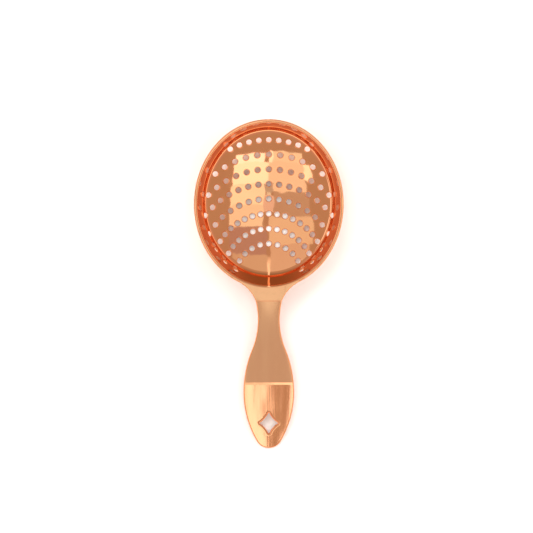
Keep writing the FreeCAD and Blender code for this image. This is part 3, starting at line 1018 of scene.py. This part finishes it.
# Light panels over the strainer: name, reach in X and Y, and light added to the room's
PANELS = (
    ("right_far", (0.045, 0.45), (-0.69, -0.585), (1.3, 1.6, 1.9)),
    ("right_middle", (0.0, 0.46), (-0.585, -0.36), (1.1, 1.4, 1.5)),
    ("right_near", (0.055, 0.47), (-0.36, -0.24), (0.8, 1.05, 1.1)),
    ("right_side", (0.06, 0.47), (-0.24, -0.17), (0.8, 1.05, 1.1)),
    ("right_low", (0.06, 0.48), (-0.17, 0.03), (0.55, 0.8, 0.85)),
    ("seam_far", (-0.05, -0.004), (-0.72, -0.585), (1.2, 1.5, 1.7)),
    ("seam_handle", (-0.055, 0.055), (-0.36, -0.272), (0.08, 0.24, 0.34)),
    ("seam_tongue", (-0.03, 0.03), (-0.272, -0.24), (0.4, 0.7, 0.8)),
    ("seam_lip", (-0.06, 0.06), (-0.24, -0.1), (0.4, 0.5, 0.65)),
    ("left_far", (-0.46, -0.05), (-0.72, -0.585), (0.6, 0.85, 0.9)),
    ("left_middle", (-0.46, 0.0), (-0.585, -0.36), (0.55, 0.75, 0.8)),
    ("left_near", (-0.46, -0.055), (-0.36, -0.28), (0.55, 0.75, 0.8)),
    ("left_edge", (-0.56, -0.46), (-0.6, -0.4), (1.1, 1.4, 1.5)),
    ("left_shade", (-0.5, -0.06), (-0.28, -0.06), (0.08, 0.14, 0.18)),
    ("left_low", (-0.55, 0.0), (-0.06, 0.18), (0.4, 0.55, 0.55)),
    ("left_back", (-0.5, -0.02), (0.18, 0.55), (0.28, 0.36, 0.4)),
    ("right_back", (0.02, 0.45), (0.27, 0.55), (0.2, 0.28, 0.3)),
    ("right_mauve", (0.02, 0.47), (0.03, 0.27), (0.0, 0.0, 0.12)),
)


# Panels that light only the floor: name, middle in X and Y, height, and share of the fill
FILLS = (
    ("fill_left", -1.5, 0.0, 1.1, 0.9),
    ("fill_right", 1.4, 0.3, 1.1, 1.2),
    ("fill_near", 0.0, -1.5, 1.1, 0.9),
    ("fill_far", 0.3, 1.4, 1.1, 1.2),
    ("fill_over", -0.7, 0.9, 1.6, 1.0),
)


def emitter(name, low, high, height, light, seen=True):
    """A level rectangle above the strainer, whose red, green and blue radiance is light."""
    lamp = bpy.data.lights.new(name, "AREA")
    lamp.shape = "RECTANGLE"
    lamp.size, lamp.size_y = high[0] - low[0], high[1] - low[1]
    # A panel's radiance is its power over pi times its area
    lamp.energy = max(light) * math.pi * lamp.size * lamp.size_y
    lamp.color = [part / max(light) for part in light]
    made = bpy.data.objects.new(name, lamp)
    made.location = ((low[0] + high[0]) / 2, (low[1] + high[1]) / 2, height)
    made.visible_camera = False
    made.visible_glossy = seen
    bpy.context.scene.collection.objects.link(made)
    return made


class STRAINER_OT_stage(bpy.types.Operator):
    """Builds the pale floor, the surroundings, the light panels and the camera"""

    bl_idname = "strainer.stage"
    bl_label = "Build stage"

    def execute(self, context):
        scene = context.scene
        studio = scene.strainer_studio
        half = studio.floor_half
        grid = np.linspace(-half, half, FLOOR_LINES)
        x, y = np.meshgrid(grid, grid)
        points = np.stack([x, y, 0 * x], axis=-1).reshape(-1, 3)
        numbers = np.arange(len(points)).reshape(x.shape)
        quads = np.stack(
            [numbers[:-1, :-1], numbers[:-1, 1:], numbers[1:, 1:], numbers[1:, :-1]], axis=-1
        ).reshape(-1, 4)
        mesh = bpy.data.meshes.new("floor")
        mesh.from_pydata(points.tolist(), [], quads.tolist())
        floor = bpy.data.objects.new("floor", mesh)
        scene.collection.objects.link(floor)
        material = bpy.data.materials.new("floor_white")
        shader = Shader(material)
        surface = shader.node("ShaderNodeBsdfPrincipled", {}, {
            "Base Color": (0.9, 0.9, 0.9, 1),
            "Roughness": 0.7,
            "Specular IOR Level": 0.2,
        })
        shader.node("ShaderNodeOutputMaterial", {}, {"Surface": surface})
        mesh.materials.append(material)

        world = bpy.data.worlds.new("studio")
        scene.world = world
        sky = Shader(world)
        way = sky.node("ShaderNodeTexCoord", {}, {}, "Generated")
        across, back, height = (sky.part(way, axis) for axis in "XYZ")
        wall = sky.band(height, 0.18, 0.36)
        tone = sky.mix(wall, HORIZON, LOW_SKY)
        tone = sky.mix(sky.band(height, 0.5, 0.8), tone, opaque(studio.room))
        tone = sky.mix(sky.band(back, 0.55, 0.95), tone, SKY_BEHIND)
        beside = sky.node("ShaderNodeMath", {"operation": "ABSOLUTE"}, {0: across})
        streak = sky.band(back, 0.2, 0.3) * (1 - sky.band(beside, 0.01, 0.022))
        tone = sky.mix(streak, tone, STREAK)
        light = sky.node("ShaderNodeBackground", {}, {"Color": tone, "Strength": 1.0})
        sky.node("ShaderNodeOutputWorld", {}, {"Surface": light})

        for name, (left, right), (near, far), light in PANELS:
            emitter(name, (left, near), (right, far), studio.panel_height, light)
        emitter("side_panel", (-1.7, -0.6), (-0.95, 0.6), 0.9, (0.7, 0.85, 0.9))
        for name, x, y, height, part in FILLS:
            light = tuple(part * colour for colour in studio.fill)
            low, high = (x - FILL_HALF, y - FILL_HALF), (x + FILL_HALF, y + FILL_HALF)
            emitter(name, low, high, height, light, seen=False)

        camera = bpy.data.objects.new("camera", bpy.data.cameras.new("camera"))
        scene.collection.objects.link(camera)
        camera.location = (CAMERA_X, CAMERA_Y, studio.camera_height)
        camera.data.sensor_width = SENSOR_WIDTH
        distance = studio.camera_height - AIM_HEIGHT
        camera.data.lens = SENSOR_WIDTH * distance / studio.view_width
        camera.data.clip_end = VIEW_END
        scene.camera = camera
        scene.view_settings.view_transform = "Standard"
        return {"FINISHED"}


class STRAINER_PT_panel(bpy.types.Panel):
    """The strainer's sizes, finish and build steps"""

    bl_idname = "STRAINER_PT_panel"
    bl_label = "Julep strainer"
    bl_space_type = "VIEW_3D"
    bl_region_type = "UI"
    bl_category = "Strainer"

    def draw(self, context):
        for step in BUILD_STEPS:
            self.layout.operator(step.bl_idname)
        for key, group in GROUPS.items():
            box = self.layout.box()
            box.label(text=group.__doc__)
            for name in group.__annotations__:
                box.prop(getattr(context.scene, key), name)


BUILD_STEPS = (STRAINER_OT_bowl, STRAINER_OT_handle, STRAINER_OT_welds, STRAINER_OT_stage)
GROUPS = {
    "strainer_bowl": StrainerBowlSizes,
    "strainer_handle": StrainerHandleSizes,
    "strainer_finish": StrainerFinish,
    "strainer_studio": StrainerStudio,
}
CLASSES = (*GROUPS.values(), *BUILD_STEPS, STRAINER_PT_panel)


def register():
    for item in CLASSES:
        bpy.utils.register_class(item)
    for key, group in GROUPS.items():
        setattr(bpy.types.Scene, key, bpy.props.PointerProperty(type=group))


def unregister():
    for key in GROUPS:
        delattr(bpy.types.Scene, key)
    for item in reversed(CLASSES):
        bpy.utils.unregister_class(item)


def main():
    register()
    bpy.ops.strainer.bowl()
    bpy.ops.strainer.handle()
    bpy.ops.strainer.welds()
    bpy.ops.strainer.stage()


if __name__ == "__main__":
    main()
